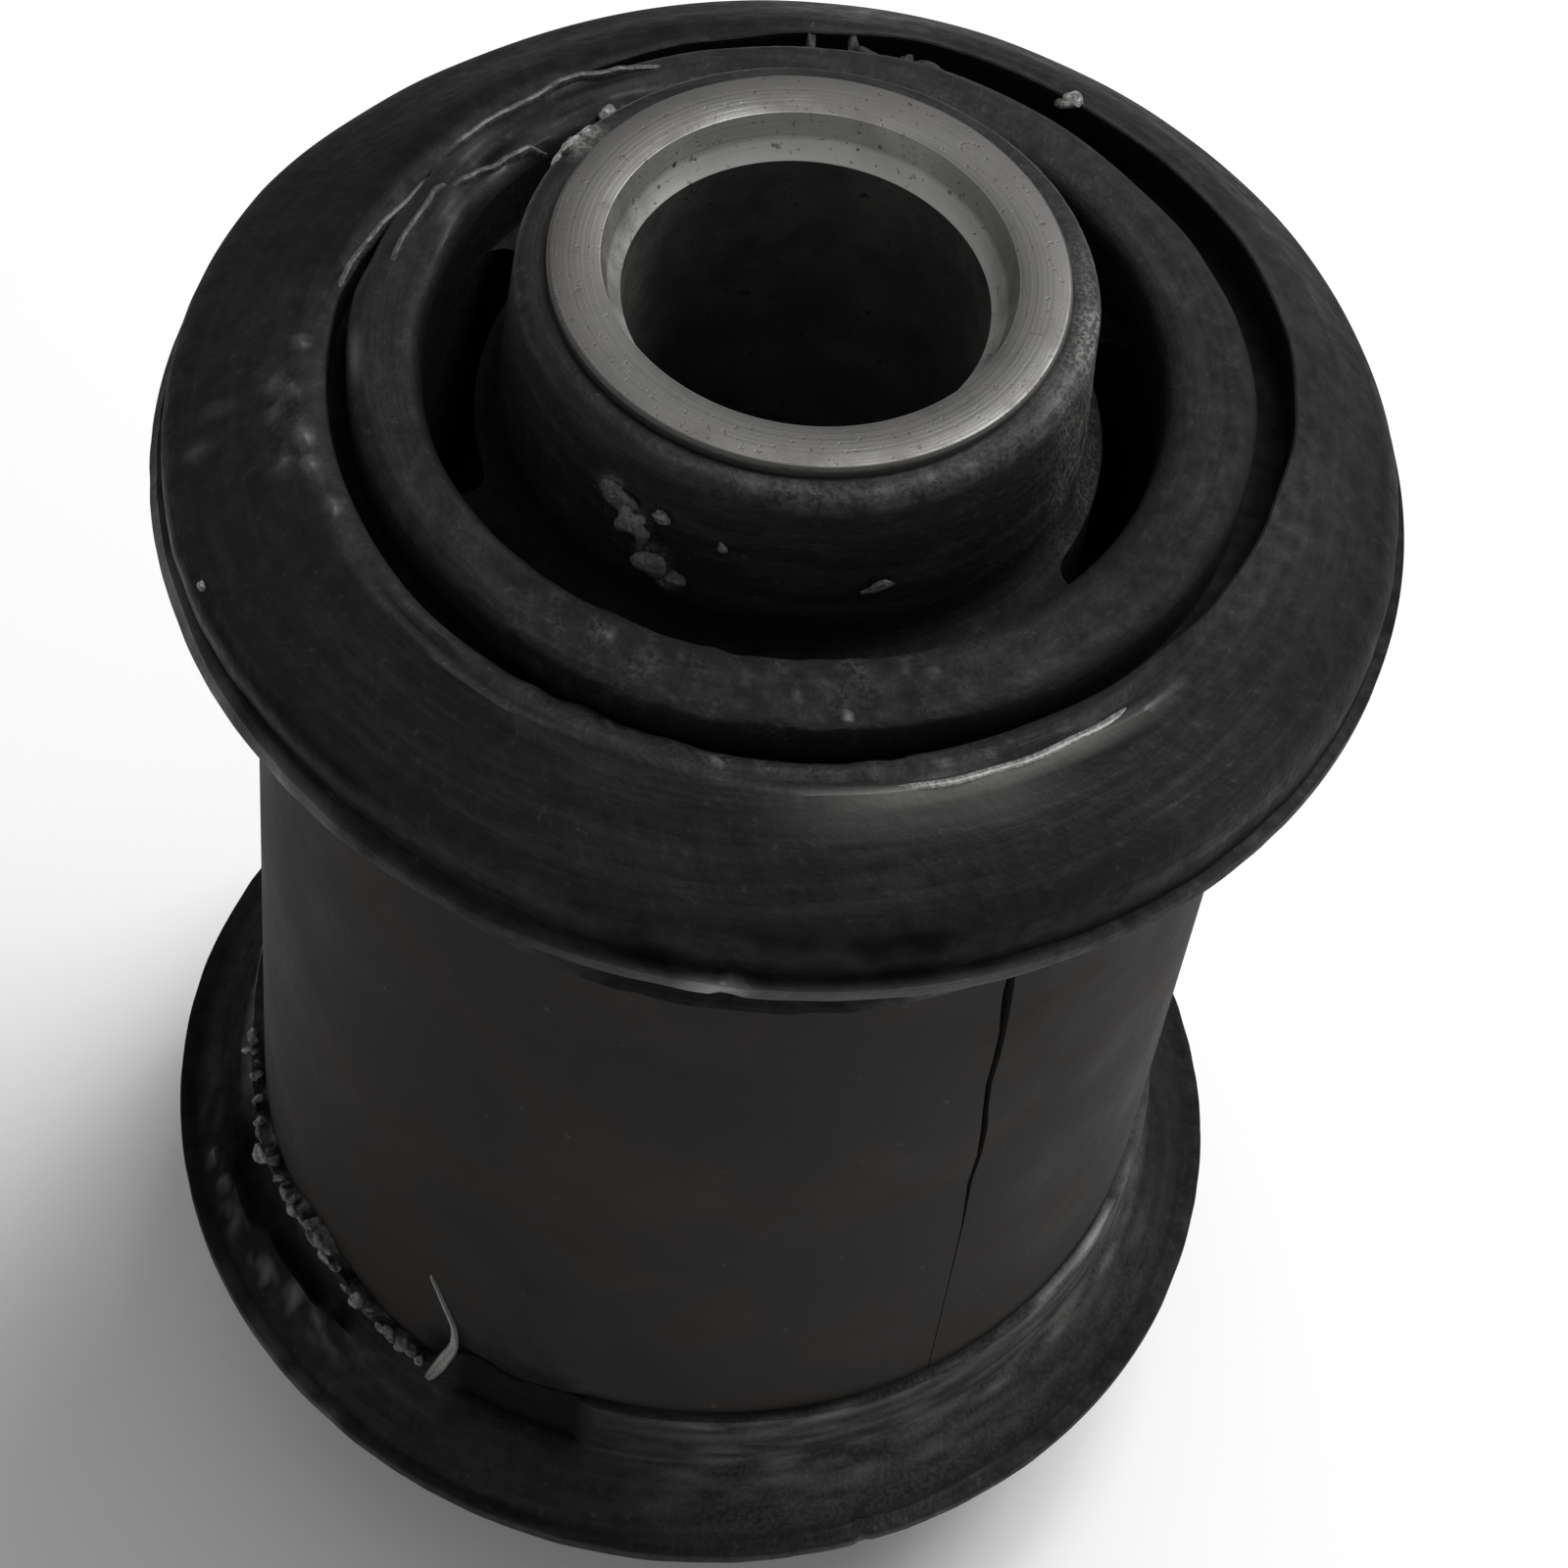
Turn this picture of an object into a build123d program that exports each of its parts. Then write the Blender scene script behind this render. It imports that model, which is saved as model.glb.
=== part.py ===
"""Bonded rubber-metal bush with a steel inner sleeve and a rolled steel outer sleeve.

The bush stands on one end of its inner sleeve: +Z runs along the bolt axis, and
the origin is the centre of the lower end face. Both ends are alike, so each section
is drawn at its upper end and repeated upside down at the lower. All sizes are in
millimetres.
"""

import os
from math import cos, degrees, radians, sin

from build123d import *

# Inner sleeve: thick steel tube for the bolt, with a turned mouth at each end.
bush_length = 72.0
sleeve_diameter = 20.0
bore_diameter = 14.2
mouth_diameter = 15.5
mouth_depth = 1.2

# Outer sleeve: steel strip rolled round, with its butt seam left open.
shell_diameter = 42.0
shell_wall = 1.5
shell_length = 42.0
seam_gap = 0.25
seam_angle = -56.0

# Rubber hub: the skin on the inner sleeve, which stops short of the end face.
hub_thickness = 1.3
hub_setback = 0.5

# Rubber flange: a shallow cone, a shoulder eased by two bevels, the lower one steeper,
# and a parting rib round the rim. The parting line is the datum of the rubber, and
# stands off the outer sleeve's end.
parting_lift = 3.0
flange_overhang = 4.1
flange_rise = 5.9
shoulder_width = 1.2
shoulder_height = 2.9
steep_bevel_width = 0.15
steep_bevel_height = 1.75
rib_reach = 0.8
rib_thickness = 0.7

# Rubber collar round the recess, and the thin groove between collar and flange.
recess_width = 3.1
recess_depth = 3.6
collar_rise = 6.8
collar_width = 3.0
groove_width = 1.0
groove_depth = 2.4

# Kidney voids: one each side in both ends, which soften the bush along X.
void_width = 2.0
void_depth = 12.0
void_half_angle = 24.0

# Rubber skirt, which wraps the outer sleeve's end and climbs it behind each flange.
# At the lower end its lip has torn short over one stretch, and a bite beside that
# is gone down to a hem at the root.
skirt_thickness = 0.55
skirt_root_drop = 2.9
skirt_height = 3.8
torn_lip_start = -172.0
torn_lip_height = 2.2
bite_start = -116.0
bite_end = -97.0
bite_hem = 0.4

# Radii and heights that follow from the driving dimensions.
middle = bush_length / 2

bore_radius = bore_diameter / 2
mouth_radius = mouth_diameter / 2
mouth_floor = bush_length - mouth_depth
mouth_bevel = mouth_radius - bore_radius
sleeve_radius = sleeve_diameter / 2

shell_radius = shell_diameter / 2
shell_inner_radius = shell_radius - shell_wall
shell_end = middle + shell_length / 2
seam_opening = degrees(seam_gap / shell_radius)

hub_radius = sleeve_radius + hub_thickness
hub_top = bush_length - hub_setback

parting_height = shell_end + parting_lift
rib_radius = shell_radius + flange_overhang
flange_edge = rib_radius - rib_reach
rib_top = parting_height + rib_thickness / 2
rib_bottom = parting_height - rib_thickness / 2

collar_wall = hub_radius + recess_width
collar_top = parting_height + collar_rise
recess_floor = collar_top - recess_depth
groove_inner_wall = collar_wall + collar_width
groove_outer_wall = groove_inner_wall + groove_width
groove_floor = collar_top - groove_depth

void_radius = collar_wall - void_width / 2
void_mouth = recess_depth / 2
upper_void_floor = recess_floor - void_depth
lower_void_mouth = bush_length - recess_floor - void_mouth

skirt_radius = shell_radius + skirt_thickness
skirt_root = parting_height - skirt_root_drop
skirt_lip = skirt_root - skirt_height


def radial_plane(angle):
    """Plane that holds the bolt axis, with its own x axis pointing out at this angle."""
    turn = radians(angle)
    return Plane(origin=(0, 0, 0), x_dir=(cos(turn), sin(turn), 0), z_dir=(sin(turn), -cos(turn), 0))


def both_ends(upper_points):
    """The section's points at the upper end, then the same points at the lower end."""
    return upper_points + [(radius, bush_length - height) for radius, height in reversed(upper_points)]


# Inner sleeve: the section of its wall, with a bevel from each mouth into the bore.
with BuildPart() as inner_sleeve:
    with BuildSketch(Plane.XZ):
        with BuildLine():
            mouth_points = [
                (bore_radius, mouth_floor - mouth_bevel),
                (mouth_radius, mouth_floor),
                (mouth_radius, bush_length),
                (sleeve_radius, bush_length),
            ]
            Polyline(*both_ends(mouth_points), close=True)
        make_face()
    revolve(axis=Axis.Z)

# Outer sleeve: the strip's section, rolled from one side of the seam round to the other.
with BuildPart() as outer_sleeve:
    with BuildSketch(radial_plane(seam_angle + seam_opening / 2)):
        with Locations((shell_inner_radius, middle)):
            Rectangle(shell_wall, shell_length, align=(Align.MIN, Align.CENTER))
    revolve(axis=Axis.Z, revolution_arc=360 - seam_opening)

# Rubber: one moulding bonded to both sleeves. Its section runs up the inner sleeve,
# over hub, recess, collar, groove and flange, and back down behind the outer sleeve.
with BuildPart() as rubber_body:
    with BuildSketch(Plane.XZ):
        with BuildLine():
            rubber_points = [
                (sleeve_radius, hub_top),
                (hub_radius, hub_top),
                (hub_radius, recess_floor),
                (collar_wall, recess_floor),
                (collar_wall, collar_top),
                (groove_inner_wall, collar_top),
                (groove_inner_wall, groove_floor),
                (groove_outer_wall, groove_floor),
                (groove_outer_wall, parting_height + flange_rise),
                (flange_edge - shoulder_width, rib_top + shoulder_height),
                (flange_edge - steep_bevel_width, rib_top + steep_bevel_height),
                (flange_edge, rib_top),
                (rib_radius, rib_top),
                (rib_radius, rib_bottom),
                (flange_edge, rib_bottom),
                (skirt_radius, skirt_root),
                (skirt_radius, skirt_lip),
                (shell_radius, skirt_lip),
                (shell_radius, shell_end),
                (shell_inner_radius, shell_end),
            ]
            Polyline(*both_ends(rubber_points), close=True)
        make_face()
    revolve(axis=Axis.Z)

    # The voids open into the recess at each end and share its outer wall.
    for void_start in (upper_void_floor, lower_void_mouth):
        with BuildSketch(Plane.XY.offset(void_start)):
            with PolarLocations(0, 2):
                SlotArc(CenterArc((0, 0), void_radius, -void_half_angle, 2 * void_half_angle), void_width)
        extrude(amount=void_depth + void_mouth, mode=Mode.SUBTRACT)

    # The lip is cut back over the torn stretch, and the bite bares the outer sleeve.
    for tear_start, tear_end, height_left in (
        (torn_lip_start, bite_start, torn_lip_height),
        (bite_start, bite_end, bite_hem),
    ):
        with BuildSketch(radial_plane(tear_start)):
            with Locations((shell_radius, bush_length - skirt_root + height_left)):
                Rectangle(2 * skirt_thickness, 2 * skirt_height, align=(Align.MIN, Align.MIN))
        revolve(axis=Axis.Z, revolution_arc=tear_end - tear_start, mode=Mode.SUBTRACT)

inner_sleeve.part.label = "inner_sleeve"
outer_sleeve.part.label = "outer_sleeve"
rubber_body.part.label = "rubber_body"

os.makedirs("parts", exist_ok=True)
export_step(inner_sleeve.part, "parts/inner_sleeve.step")
export_step(outer_sleeve.part, "parts/outer_sleeve.step")
export_step(rubber_body.part, "parts/rubber_body.step")
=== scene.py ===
from math import atan2, cos, degrees, hypot, pi, radians, sin, tan

import bpy
from mathutils import Matrix, Vector, noise


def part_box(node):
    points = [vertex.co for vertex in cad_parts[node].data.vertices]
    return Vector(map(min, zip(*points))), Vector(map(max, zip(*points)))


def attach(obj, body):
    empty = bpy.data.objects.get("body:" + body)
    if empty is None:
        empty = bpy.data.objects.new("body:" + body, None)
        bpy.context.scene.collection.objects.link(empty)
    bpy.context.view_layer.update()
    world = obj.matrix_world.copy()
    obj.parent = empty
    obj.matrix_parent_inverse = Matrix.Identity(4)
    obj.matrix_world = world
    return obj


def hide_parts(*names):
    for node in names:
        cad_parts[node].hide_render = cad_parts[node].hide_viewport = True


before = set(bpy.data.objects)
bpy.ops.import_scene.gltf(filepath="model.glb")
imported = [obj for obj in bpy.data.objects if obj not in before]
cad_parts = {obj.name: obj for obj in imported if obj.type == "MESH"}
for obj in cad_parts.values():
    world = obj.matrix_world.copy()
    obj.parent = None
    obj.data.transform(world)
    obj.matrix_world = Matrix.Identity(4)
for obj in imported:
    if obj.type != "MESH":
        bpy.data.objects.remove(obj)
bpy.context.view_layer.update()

# ---- Inner sleeve ----
# A thick steel tube that takes the bolt, faced and bored in a lathe. Each mouth tapers
# a little and has a bevel down into the bore. The bare ends still show turning marks.
MM = 0.001
sleeve_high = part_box("inner_sleeve")[1]
bush_length = sleeve_high.z
sleeve_radius = sleeve_high.x
bore_radius = 7.1 * MM
mouth_radius = 7.95 * MM
mouth_floor_radius = 7.62 * MM
mouth_depth = 1.2 * MM
mouth_bevel_foot = bush_length - mouth_depth - (mouth_floor_radius - bore_radius) - 0.1 * MM
sleeve_edge_break = 0.18 * MM
mouth_edge_break = 0.1 * MM
sleeve_turn_steps = 256


def both_ends(upper_corners):
    """The corners at the upper end, then the same corners upside down at the lower end."""
    return upper_corners + [(radius, bush_length - height, ease)
                            for radius, height, ease in reversed(upper_corners)]


def eased_section(corners, arc_step):
    """Points of a closed section whose corners (radius, height, ease) are rounded to their ease."""
    points = []
    for index, (radius, height, ease) in enumerate(corners):
        corner = Vector((radius, height))
        if not ease:
            points.append(corner)
            continue
        back = (Vector(corners[index - 1][:2]) - corner).normalized()
        ahead = (Vector(corners[(index + 1) % len(corners)][:2]) - corner).normalized()
        half = back.angle(ahead) / 2
        centre = corner + (back + ahead).normalized() * ease / sin(half)
        start = corner + back * ease / tan(half) - centre
        sweep = start.angle_signed(corner + ahead * ease / tan(half) - centre)
        steps = max(2, round(ease * abs(sweep) / arc_step))
        for step in range(steps + 1):
            points.append(centre + Matrix.Rotation(-sweep * step / steps, 2) @ start)
    return points


def divided(points, spacing):
    """The same closed outline, cut into steps about as long as the spacing there."""
    fine = []
    for index, point in enumerate(points):
        ahead = points[(index + 1) % len(points)]
        cuts = max(1, round((ahead - point).length / spacing((point + ahead) / 2)))
        fine += [point.lerp(ahead, cut / cuts) for cut in range(cuts)]
    return fine


def face_outwards():
    """Turns every face of the mesh in edit mode outwards and leaves that mode."""
    bpy.ops.mesh.select_all(action="SELECT")
    bpy.ops.mesh.normals_make_consistent(inside=False)
    bpy.ops.object.mode_set(mode="OBJECT")


def new_primitive(add_primitive, **shape):
    """A new primitive to start a piece from, with nothing else selected."""
    bpy.ops.object.select_all(action="DESELECT")
    add_primitive(**shape)
    return bpy.context.object


def turned_piece(name, section, steps):
    """Draws a ring of points out round the bolt axis through every point of a closed section."""
    radius, height = section[0]
    piece = new_primitive(bpy.ops.mesh.primitive_circle_add, vertices=steps, radius=radius)
    piece.name = piece.data.name = name
    bpy.ops.object.mode_set(mode="EDIT")
    bpy.ops.mesh.select_all(action="SELECT")
    bpy.ops.transform.translate(value=(0, 0, height))
    for next_radius, next_height in section[1:] + section[:1]:
        rise = (0, 0, next_height - height)
        growth = next_radius / radius
        bpy.ops.mesh.extrude_edges_move(TRANSFORM_OT_translate={"value": rise})
        bpy.ops.transform.resize(value=(growth, growth, 1), center_override=(0, 0, next_height))
        radius, height = next_radius, next_height
    bpy.ops.mesh.select_all(action="SELECT")
    bpy.ops.mesh.remove_doubles(threshold=0.001 * MM)
    face_outwards()
    return piece


def finish_piece(piece, material, smooth_below=35):
    """Shades the piece, gives it its finish and lets it ride with the bush."""
    bpy.ops.object.select_all(action="DESELECT")
    piece.select_set(True)
    bpy.context.view_layer.objects.active = piece
    bpy.ops.object.shade_smooth_by_angle(angle=radians(smooth_below))
    piece.data.materials.clear()
    piece.data.materials.append(material)
    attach(piece, "root")


def add_node(tree, kind, sockets, **settings):
    """Adds a shader node and fills its sockets, each linked to another socket or set to a value."""
    node = tree.nodes.new("ShaderNode" + kind)
    for name, setting in settings.items():
        setattr(node, name, setting)
    for key, value in sockets.items():
        if isinstance(value, bpy.types.NodeSocket):
            tree.links.new(value, node.inputs[key])
        else:
            node.inputs[key].default_value = value
    return node


def maths(tree, operation, *terms, clamp=False):
    """The number that a Math node makes of its terms."""
    return add_node(tree, "Math", dict(enumerate(terms)), operation=operation, use_clamp=clamp).outputs[0]


def vector_maths(tree, operation, *terms):
    """What a Vector Math node makes of its terms: a number for a length, else a vector."""
    outputs = add_node(tree, "VectorMath", dict(enumerate(terms)), operation=operation).outputs
    return outputs["Value" if operation in ("LENGTH", "DISTANCE") else "Vector"]


def stretched(tree, value, low, high, at_low=0, at_high=1, curve="LINEAR"):
    """Takes a value from between low and high to between at_low and at_high, and no further."""
    sockets = {"Value": value, 1: low, 2: high, 3: at_low, 4: at_high}
    return add_node(tree, "MapRange", sockets, interpolation_type=curve).outputs[0]


def noise_cloud(tree, place, scale, detail, roughness=0.5, dimensions="3D"):
    """Uneven values from 0 to 1, with as many waves in a unit of the place as the scale says."""
    sockets = {"Vector": place, "Scale": scale, "Detail": detail, "Roughness": roughness}
    return add_node(tree, "TexNoise", sockets, noise_dimensions=dimensions).outputs["Fac"]


def mixed(tree, share, start, end):
    """A colour that turns from start to end as the share grows. An even one is (red, green, blue)."""
    start, end = (colour if isinstance(colour, bpy.types.NodeSocket) else (*colour, 1)
                  for colour in (start, end))
    return add_node(tree, "MixRGB", {"Fac": share, "Color1": start, "Color2": end}).outputs[0]


def from_bolt_axis(tree, place):
    """How far a place is from the bolt axis, the level line out to it, and its height."""
    parts = add_node(tree, "SeparateXYZ", {"Vector": place}).outputs
    line_out = add_node(tree, "CombineXYZ", {"X": parts["X"], "Y": parts["Y"]}).outputs[0]
    return vector_maths(tree, "LENGTH", line_out), line_out, parts["Z"]


def new_pattern(name, result, **inputs):
    """A shader group that gives one value at each place, from its own inputs."""
    group = bpy.data.node_groups.new(name, "ShaderNodeTree")
    group.interface.new_socket("Vector", in_out="INPUT", socket_type="NodeSocketVector")
    for title, kind in inputs.items():
        group.interface.new_socket(title, in_out="INPUT", socket_type="NodeSocket" + kind)
    group.interface.new_socket(result, in_out="OUTPUT", socket_type="NodeSocketFloat")
    return group, group.nodes.new("NodeGroupInput").outputs, group.nodes.new("NodeGroupOutput").inputs[0]


def laid_on(tree, pattern, place, **values):
    """What a pattern gives at a place on the piece, with this material's own values."""
    return add_node(tree, "Group", {"Vector": place, **values}, node_tree=pattern).outputs[0]


def new_finish(name):
    """A new material with its node tree, its shader and the place on the piece that it reads."""
    material = bpy.data.materials.new(name)
    material.use_nodes = True
    tree = material.node_tree
    return material, tree, tree.nodes["Principled BSDF"], add_node(tree, "TexCoord", {}).outputs["Object"]


def dress(tree, shader, colour, roughness, relief, strength, depth):
    """Gives a shader its colour and its roughness, and bumps it with a relief of a depth in metres."""
    bump = add_node(tree, "Bump", {"Strength": strength, "Distance": depth, "Height": relief})
    tree.links.new(colour, shader.inputs["Base Color"])
    tree.links.new(roughness, shader.inputs["Roughness"])
    tree.links.new(bump.outputs[0], shader.inputs["Normal"])


sleeve_section = eased_section(both_ends([
    (bore_radius, mouth_bevel_foot, 0),
    (mouth_floor_radius, bush_length - mouth_depth, 0),
    (mouth_radius, bush_length, mouth_edge_break),
    (sleeve_radius, bush_length, sleeve_edge_break),
]), arc_step=0.08 * MM)
inner_sleeve = turned_piece("bolt_sleeve", sleeve_section, sleeve_turn_steps)
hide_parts("inner_sleeve")

# Marks that go round the bolt axis: what a lathe tool leaves on a face or in a bore.
turning_marks, given, result = new_pattern("turning_marks", "Height", Pitch="Float")
from_axis, _, upward = from_bolt_axis(turning_marks, given["Vector"])
tool_path = add_node(turning_marks, "CombineXYZ", {"X": from_axis, "Y": upward}).outputs[0]
fine_path = vector_maths(turning_marks, "DIVIDE", tool_path, given["Pitch"])
turning_marks.links.new(noise_cloud(turning_marks, fine_path, 1, 3, dimensions="2D"), result)

# Soft patches where a finish turns paler, duller or browner.
blotches, given, result = new_pattern("blotches", "Mask", Size="Float", Contrast="Float")
near = vector_maths(blotches, "DIVIDE", given["Vector"], given["Size"])
centred = maths(blotches, "SUBTRACT", noise_cloud(blotches, near, 1, 5, roughness=0.62), 0.5)
patch = maths(blotches, "MULTIPLY_ADD", centred, given["Contrast"], 0.5, clamp=True)
patch = maths(blotches, "MULTIPLY_ADD", centred, given["Contrast"], patch, clamp=True)
blotches.links.new(patch, result)

# Small hard specks: dust, rubber crumbs or rust pits.
speck_level = 0.86
speck_edge = 14
speckles, given, result = new_pattern("speckles", "Mask", Size="Float", Amount="Float")
near = vector_maths(speckles, "DIVIDE", given["Vector"], given["Size"])
shore = maths(speckles, "SUBTRACT", speck_level, given["Amount"])
above = maths(speckles, "SUBTRACT", noise_cloud(speckles, near, 1, 2, roughness=0.6), shore)
speckles.links.new(maths(speckles, "MULTIPLY", above, speck_edge, clamp=True), result)

# One soft smear around a place, broken up at its edge: rust, or a painted shadow on the steel.
smear, given, result = new_pattern("smear", "Mask", Place="Vector", Reach="Float")
away = vector_maths(smear, "DISTANCE", given["Vector"], given["Place"])
share = maths(smear, "DIVIDE", away, given["Reach"])
torn_edge = noise_cloud(smear, given["Vector"], 900, 4)
uneven = maths(smear, "MULTIPLY_ADD", torn_edge, 0.7, share)
smear.links.new(stretched(smear, uneven, 0.75, 1.35, 1, 0, curve="SMOOTHSTEP"), result)

steel_in_marks = (0.078, 0.077, 0.075)
steel_on_marks = (0.158, 0.156, 0.152)
stain_brown = (0.108, 0.1, 0.092)
tarnish_grey = (0.1, 0.097, 0.093)
bore_grey = (0.17, 0.166, 0.16)
fresh_cut_highlight_steel = (0.52, 0.515, 0.505)
rust_brown = (0.06, 0.047, 0.037)
stained_place = (-0.0088, -0.0014, bush_length)
bare_steel, tree, shader, place_on = new_finish("bare_turned_steel")
shader.inputs["Metallic"].default_value = 0.85
lathe = laid_on(tree, turning_marks, place_on, Pitch=0.16 * MM)
tarnish = laid_on(tree, blotches, place_on, Size=3.2 * MM, Contrast=2.2)
pits = laid_on(tree, speckles, place_on, Size=0.32 * MM, Amount=0.24)
stain = laid_on(tree, smear, place_on, Place=stained_place, Reach=3.2 * MM)
turned = mixed(tree, lathe, steel_in_marks, steel_on_marks)
dulled = mixed(tree, tarnish, mixed(tree, stain, turned, stain_brown), tarnish_grey)

# The mouth is cut last, so its wall and its bevel are painted brighter than the face and the bore: partly
# the fresh cut, partly a painted highlight.
from_axis, _, upward = from_bolt_axis(tree, place_on)
from_middle = maths(tree, "ABSOLUTE", maths(tree, "SUBTRACT", upward, bush_length / 2))
bore_end = mouth_bevel_foot - bush_length / 2
past_bore = stretched(tree, from_middle, bore_end - 0.05 * MM, bore_end)
on_bevel = stretched(tree, from_axis, mouth_floor_radius, mouth_floor_radius + 0.06 * MM, 1, 0.45)
inside_face = stretched(tree, from_axis, mouth_radius, mouth_radius + 0.05 * MM, 1, 0)
fresh_cut_and_highlight = maths(tree, "MULTIPLY", maths(tree, "MULTIPLY", past_bore, on_bevel), inside_face)
cut = mixed(tree, fresh_cut_and_highlight, mixed(tree, past_bore, bore_grey, dulled), fresh_cut_highlight_steel)
stained = mixed(tree, maths(tree, "MULTIPLY", tarnish, pits), cut, rust_brown)
dullness = stretched(tree, tarnish, 0, 1, 0.36, 0.55)
ridges = maths(tree, "MULTIPLY_ADD", pits, -0.5, lathe)
dress(tree, shader, stained, dullness, ridges, strength=0.35, depth=0.03 * MM)
finish_piece(inner_sleeve, bare_steel)

# ---- Outer sleeve ----
# Steel strip rolled round into a shell whose butt seam is left open. It is darkened by
# phosphate and oil, and it is what presses into the suspension arm.
shell_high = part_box("outer_sleeve")[1]
shell_radius = shell_high.x
shell_end = shell_high.z
shell_wall = 1.5 * MM
shell_inner_radius = shell_radius - shell_wall
shell_edge_break = 0.25 * MM
shell_steps = 256
seam_course = [(13.0, -53.0, 0.05), (27.0, -53.3, 0.06), (32.0, -53.4, 0.1), (35.7, -53.9, 0.22),
               (38.0, -53.5, 0.26), (40.0, -53.7, 0.34), (42.0, -54.3, 0.28), (44.0, -54.7, 0.3),
               (46.0, -54.5, 0.36), (48.0, -54.6, 0.34), (49.5, -54.9, 0.46), (51.0, -55.2, 0.5),
               (52.5, -55.3, 0.36), (58.0, -55.6, 0.34)]


def apply_modifier(piece, kind, **settings):
    """Gives a piece one modifier, and makes what it does part of the mesh."""
    modifier = piece.modifiers.new(kind, kind)
    for name, setting in settings.items():
        setattr(modifier, name, setting)
    bpy.context.view_layer.objects.active = piece
    bpy.ops.object.modifier_apply(modifier=modifier.name)


def cut_away(piece, cutter):
    """Takes one closed shape out of a piece and throws the cutter away."""
    apply_modifier(piece, "BOOLEAN", operation="DIFFERENCE", solver="EXACT", object=cutter)
    bpy.data.objects.remove(cutter)


shell_section = divided(eased_section([
    (shell_inner_radius, bush_length - shell_end, 0),
    (shell_inner_radius, shell_end, 0),
    (shell_radius, shell_end, shell_edge_break),
    (shell_radius, bush_length - shell_end, shell_edge_break),
], arc_step=0.12 * MM), lambda point: 4 * MM)
outer_sleeve = turned_piece("rolled_shell", shell_section, shell_steps)

# The seam is a blade of air that wanders and closes downwards: its course is given as
# (height, azimuth, gap), in millimetres and degrees.
seam_blade = new_primitive(bpy.ops.mesh.primitive_plane_add, size=1)
bpy.ops.object.mode_set(mode="EDIT")
bpy.ops.mesh.select_all(action="SELECT")
bpy.ops.transform.resize(value=(3 * MM, 1 * MM, 1))
bpy.ops.transform.translate(value=(shell_radius - shell_wall / 2, 0, seam_course[0][0] * MM))
for (low, _, _), (high, _, _) in zip(seam_course, seam_course[1:]):
    bpy.ops.mesh.extrude_region_move(TRANSFORM_OT_translate={"value": (0, 0, (high - low) * MM)})
face_outwards()
for vertex in seam_blade.data.vertices:
    _, azimuth, gap = min(seam_course, key=lambda stop: abs(stop[0] * MM - vertex.co.z))
    vertex.co.y *= gap
    vertex.co = Matrix.Rotation(radians(azimuth), 3, "Z") @ vertex.co
cut_away(outer_sleeve, seam_blade)
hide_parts("outer_sleeve")
phosphate_dark = (0.0138, 0.0136, 0.0134)
phosphate_pale = (0.0262, 0.0258, 0.0254)
faint_rust = (0.0252, 0.0225, 0.0206)
fleck_brown = (0.055, 0.05, 0.046)
painted_shadow_black = (0.004, 0.004, 0.004)
painted_shadow_place = (-0.006, -0.0201, bush_length - shell_end)
dark_steel, tree, shader, place_on = new_finish("phosphated_steel")
shader.inputs["Specular IOR Level"].default_value = 0.08
phosphate = laid_on(tree, blotches, place_on, Size=5 * MM, Contrast=1.4)
rust = laid_on(tree, blotches, place_on, Size=9 * MM, Contrast=2.4)
flecks = laid_on(tree, speckles, place_on, Size=0.6 * MM, Amount=0.15)
crystals = noise_cloud(tree, place_on, 3200, 3)
drawn = add_node(tree, "Mapping", {"Vector": place_on, "Scale": (1, 1, 0.06)}).outputs[0]
drawn_lines = noise_cloud(tree, drawn, 1500, 2)
browned = mixed(tree, rust, mixed(tree, phosphate, phosphate_dark, phosphate_pale), faint_rust)
# Near the bite in the rubber below, the lower end of the steel is painted near-black: a painted shadow.
painted_shadow_mask = laid_on(tree, smear, place_on, Place=painted_shadow_place, Reach=6.5 * MM)
with_painted_shadow = mixed(tree, painted_shadow_mask, mixed(tree, flecks, browned, fleck_brown), painted_shadow_black)
dullness = stretched(tree, phosphate, 0, 1, 0.58, 0.76)
tooth = maths(tree, "MULTIPLY_ADD", drawn_lines, 0.6, crystals)
dress(tree, shader, with_painted_shadow, dullness, tooth, strength=0.5, depth=0.025 * MM)
finish_piece(outer_sleeve, dark_steel)

# ---- Rubber moulding ----
# One black rubber moulding, bonded to both sleeves in a two-part mould. Each end has a
# skin up the inner sleeve, a recess with two kidney voids, a collar, a groove and a flange.
rubber_low, rubber_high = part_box("rubber_body")
hub_top = rubber_high.z
hub_radius = sleeve_radius + 1.15 * MM
hub_foot_radius = sleeve_radius + 1.7 * MM
parting_height = shell_end + 3.0 * MM
rib_radius = rubber_high.x
flange_edge = rib_radius - 0.8 * MM
rib_thickness = 0.7 * MM
collar_wall = 14.4 * MM
collar_top = parting_height + 6.8 * MM
recess_floor = collar_top - 3.6 * MM
groove_inner_wall = 17.4 * MM
groove_outer_wall = 18.4 * MM
groove_floor = collar_top - 2.8 * MM
skirt_root = parting_height - 2.9 * MM
skirt_lip = skirt_root - 3.8 * MM
skirt_radius = shell_radius + 0.55 * MM
flange_lip = parting_height + 5.4 * MM
crest_radius = 19.7 * MM
crest_height = parting_height + 5.75 * MM
shoulder_corner = parting_height + 2.6 * MM
rubber_steps = 360

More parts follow.
